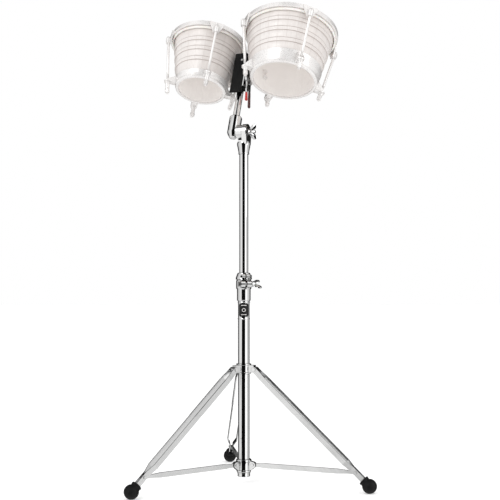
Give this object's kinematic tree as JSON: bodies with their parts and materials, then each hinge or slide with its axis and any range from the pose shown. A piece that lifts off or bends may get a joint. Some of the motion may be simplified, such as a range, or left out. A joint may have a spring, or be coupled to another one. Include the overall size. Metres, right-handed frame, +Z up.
{
  "type": "bongo drums on tripod stand",
  "caption": "Pair of bongo drums clamped on the tilting head of a folding chrome tripod stand with a telescopic column, wing-nut clamps and rubber feet.",
  "frame": {"origin": "centre of the lower face of the end cap that closes the column's lower tube; the floor is 17.2 mm below it", "axes": "+Z up along the column, -Y towards the listeners (front), +X to the right seen from the front"},
  "size_m": [0.5855, 0.545, 1.1686],
  "materials": {
    "chrome_tube": "bright chrome plating on drawn tube",
    "chrome_strip": "chrome plating on pressed strip, lightly brushed along its length",
    "chrome_cast": "chrome plating over cast metal, soft ripple",
    "black_metal": "satin black powder coat with fine orange peel",
    "black_rubber": "matte black moulded rubber",
    "black_nylon": "moulded black nylon",
    "badge": "gloss black lacquer plate",
    "red_vinyl": "orange-red dipped vinyl",
    "dark_red_vinyl": "dark red dipped vinyl",
    "pale_wood": "white-washed hardwood with faint vertical grain",
    "pale_steel": "satin white powder coat on steel",
    "skin": "pale natural drum skin"
  },
  "bodies": {
    "column": {"lower_tube": "chrome_tube", "tube_end_cap": "chrome_cast", "trim_rings": "chrome_tube", "badge_plate": "badge", "leg_hub": "chrome_cast", "leg_pivot_pins": "chrome_strip", "height_clamp": "chrome_cast", "clamp_bushing": "black_nylon", "clamp_bolt": "chrome_cast"},
    "brace_slider": {"brace_hub": "chrome_cast", "brace_hub_bolt": "chrome_strip", "brace_pivot_pins": "chrome_strip"},
    "leg_right": {"leg_right_rails": "chrome_strip", "leg_right_rivets": "chrome_strip", "foot_right": "black_rubber"},
    "strut_right": {"brace_right": "chrome_strip"},
    "leg_left": {"leg_left_rails": "chrome_strip", "leg_left_rivets": "chrome_strip", "foot_left": "black_rubber"},
    "strut_left": {"brace_left": "chrome_strip"},
    "leg_rear": {"leg_rear_rails": "chrome_strip", "leg_rear_rivets": "chrome_strip", "foot_rear": "black_rubber"},
    "strut_rear": {"brace_rear": "chrome_strip"},
    "glide": {"lower_glide": "black_nylon"},
    "upper_column": {"upper_tube": "chrome_tube", "tilter_lower": "chrome_cast"},
    "height_memory": {"memory_lock": "chrome_cast", "memory_lock_bolt": "chrome_cast"},
    "height_wing": {"clamp_wing_nut": "chrome_cast"},
    "tilter_head": {"tilter_upper": "chrome_cast", "tilter_bolt": "chrome_cast", "tilter_washer": "chrome_cast", "barrel_key_bolt": "chrome_cast"},
    "tilt_wing": {"tilter_wing_nut": "chrome_cast"},
    "mount": {"mount_rod": "chrome_tube", "mount_bracket": "black_metal", "bracket_pads": "black_rubber", "bracket_screw": "chrome_cast", "lever_plate": "chrome_cast"},
    "knob": {"clamp_knob": "chrome_cast"},
    "front_quick_lever": {"front_lever": "chrome_cast", "front_grip": "red_vinyl"},
    "rear_quick_lever": {"rear_lever": "chrome_cast", "rear_grip": "dark_red_vinyl"},
    "drums": {"macho_shell": "pale_wood", "macho_head": "skin", "macho_rim": "pale_steel", "macho_bottom_ring": "pale_steel", "hembra_shell": "pale_wood", "hembra_head": "skin", "hembra_rim": "pale_steel", "hembra_bottom_ring": "pale_steel", "tension_rods": "pale_steel", "tuning_nuts": "pale_steel", "block_bolts": "pale_steel", "centre_block": "pale_wood"}
  },
  "joints": [
    {"name": "tripod_fold", "type": "slide", "parent": "column", "child": "brace_slider", "axis": [0, 0, 1], "range_m": [0, 0.14708]},
    {"name": "leg_right_fold", "type": "hinge", "parent": "column", "child": "leg_right", "pos_m": [0.0276, -0.01177, 0.2644], "axis": [0.3923, 0.9198, 0], "range_deg": [0, 41.62]},
    {"name": "strut_right_fold", "type": "hinge", "parent": "brace_slider", "child": "strut_right", "pos_m": [0.023, -0.00981, 0.03], "axis": [0.3923, 0.9198, 0], "range_deg": [0, 80.88]},
    {"name": "leg_left_fold", "type": "hinge", "parent": "column", "child": "leg_left", "pos_m": [-0.02399, -0.01801, 0.2644], "axis": [0.6004, -0.7997, 0], "range_deg": [0, 41.62]},
    {"name": "strut_left_fold", "type": "hinge", "parent": "brace_slider", "child": "strut_left", "pos_m": [-0.01999, -0.01501, 0.03], "axis": [0.6004, -0.7997, 0], "range_deg": [0, 80.88]},
    {"name": "leg_rear_fold", "type": "hinge", "parent": "column", "child": "leg_rear", "pos_m": [-0.0036, 0.02978, 0.2644], "axis": [-0.9928, -0.1201, 0], "range_deg": [0, 41.62]},
    {"name": "strut_rear_fold", "type": "hinge", "parent": "brace_slider", "child": "strut_rear", "pos_m": [-0.003, 0.02482, 0.03], "axis": [-0.9928, -0.1201, 0], "range_deg": [0, 80.88]},
    {"name": "column_height", "type": "slide", "parent": "column", "child": "glide", "axis": [0, 0, 1], "range_m": [-0.11, 0.2]},
    {"name": "column_swivel", "type": "hinge", "parent": "glide", "child": "upper_column", "pos_m": [0, 0, 0], "axis": [0, 0, 1], "continuous": true},
    {"name": "memory_lock_slide", "type": "slide", "parent": "column", "child": "height_memory", "axis": [0, 0, 1], "range_m": [0, 0.15]},
    {"name": "clamp_wing_turn", "type": "hinge", "parent": "column", "child": "height_wing", "pos_m": [0.00495, -0.02144, 0.474], "axis": [0.9744, 0.225, 0], "continuous": true},
    {"name": "head_tilt", "type": "hinge", "parent": "upper_column", "child": "tilter_head", "pos_m": [0, 0, 0.848], "axis": [-0.9336, 0.3584, 0], "range_deg": [-83, 37]},
    {"name": "tilt_wing_turn", "type": "hinge", "parent": "tilter_head", "child": "tilt_wing", "pos_m": [0, 0, 0.848], "axis": [0.9336, -0.3584, 0], "continuous": true},
    {"name": "head_swivel", "type": "hinge", "parent": "tilter_head", "child": "mount", "pos_m": [-0.02567, 0.00985, 0.848], "axis": [0.14, 0.3648, 0.9205], "continuous": true},
    {"name": "clamp_knob_turn", "type": "hinge", "parent": "mount", "child": "knob", "pos_m": [-0.00033, 0.07588, 1.01461], "axis": [0.9083, -0.4174, 0.0273], "continuous": true},
    {"name": "front_lever_release", "type": "hinge", "parent": "mount", "child": "front_quick_lever", "pos_m": [-0.01314, 0.04621, 0.98704], "axis": [-0.9083, 0.4174, -0.0273], "range_deg": [0, 70]},
    {"name": "rear_lever_release", "type": "hinge", "parent": "mount", "child": "rear_quick_lever", "pos_m": [-0.00604, 0.06119, 0.98002], "axis": [0.9083, -0.4174, 0.0273], "range_deg": [0, 70]},
    {"name": "drums_lift", "type": "slide", "parent": "mount", "child": "drums", "axis": [0.14, 0.3648, 0.9205], "range_m": [0, 0.075]}
  ],
  "couplings": [
    {"joint": "leg_right_fold", "follows": "tripod_fold", "rad_per_m": 4.9387},
    {"joint": "strut_right_fold", "follows": "tripod_fold", "rad_per_m": 9.5973},
    {"joint": "leg_left_fold", "follows": "tripod_fold", "rad_per_m": 4.9387},
    {"joint": "strut_left_fold", "follows": "tripod_fold", "rad_per_m": 9.5973},
    {"joint": "leg_rear_fold", "follows": "tripod_fold", "rad_per_m": 4.9387},
    {"joint": "strut_rear_fold", "follows": "tripod_fold", "rad_per_m": 9.5973}
  ]
}
